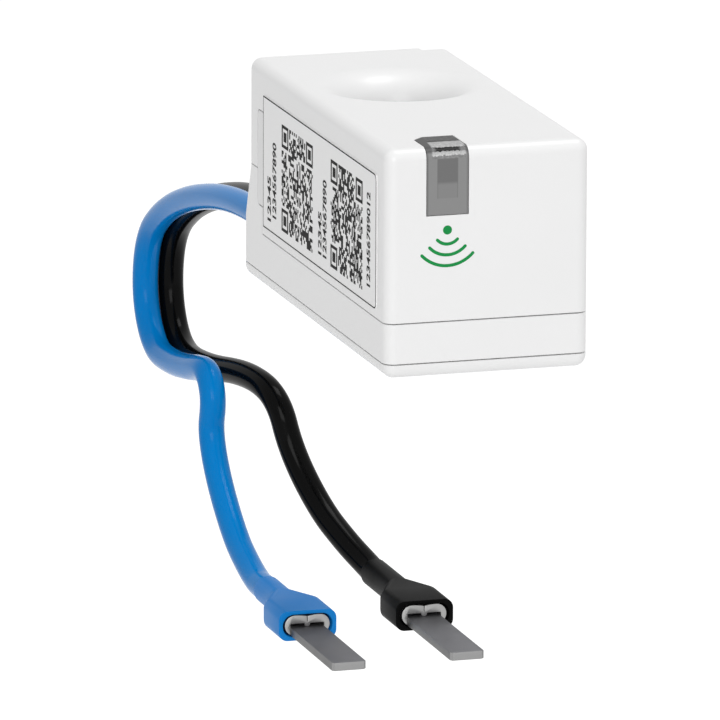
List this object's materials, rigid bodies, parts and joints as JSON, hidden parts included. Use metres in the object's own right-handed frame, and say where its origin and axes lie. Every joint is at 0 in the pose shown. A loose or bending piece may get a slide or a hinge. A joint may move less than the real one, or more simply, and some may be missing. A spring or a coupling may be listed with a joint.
{
  "type": "smart energy monitor",
  "caption": "Small white block with a flared conductor bore, a grey light guide over its front edge, a coded side sticker, and two rear leads that end in booted flat blades.",
  "frame": {"origin": "middle of the conductor bore, on its axis, half way up the housing", "axes": "+Z along the bore towards the flared mouth, +Y to the rear where the leads leave, +X to the right along the front"},
  "size_m": [0.0165, 0.0828, 0.0472],
  "materials": {
    "housing_white": "fine matt moulding texture",
    "cover_white": "fine matt moulding texture",
    "guide_grey": "smoke-grey translucent",
    "label_paper": "satin printed film",
    "board_green": "solder mask",
    "part_black": "moulded",
    "lamp_white": "clear resin",
    "shield_steel": "tinned sheet",
    "antenna_ceramic": "bare ceramic",
    "capacitor_box": "potted box",
    "capacitor_can": "sleeved can",
    "varistor_blue": "epoxy coat",
    "resistor_green": "cemented",
    "frame_white": "moulded",
    "core_grey": "wound strip",
    "winding_tape": "polyester tape",
    "clamp_black": "moulded",
    "copper_wire": "tinned strands",
    "lead_blue": "soft glossy insulation",
    "lead_black": "soft glossy insulation",
    "boot_blue": "satin moulded",
    "boot_black": "satin moulded",
    "ferrule_tin": "tinned sheet",
    "blade_tin": "plated, dull"
  },
  "bodies": {
    "root": {"upper_housing": "housing_white", "lower_housing": "housing_white", "bottom_cover": "cover_white", "light_guide": "guide_grey", "side_label": "label_paper", "power_board": "board_green", "board_header": "part_black", "header_pins": "copper_wire", "radio_board": "board_green", "status_led": "lamp_white", "radio_module": "shield_steel", "chip_antenna": "antenna_ceramic", "dropper_capacitor": "capacitor_box", "bulk_capacitor": "capacitor_can", "surge_varistor": "varistor_blue", "fusible_resistor": "resistor_green", "metering_chip": "part_black", "inner_frame": "frame_white", "transformer_core": "core_grey", "transformer_winding": "winding_tape", "lead_clamp": "clamp_black", "bare_wires": "copper_wire", "neutral_lead_tail": "lead_blue", "phase_lead_tail": "lead_black", "neutral_lead": "lead_blue", "phase_lead": "lead_black", "neutral_boot": "boot_blue", "phase_boot": "boot_black", "neutral_ferrule": "ferrule_tin", "phase_ferrule": "ferrule_tin", "neutral_blade": "blade_tin", "phase_blade": "blade_tin"}
  },
  "joints": []
}
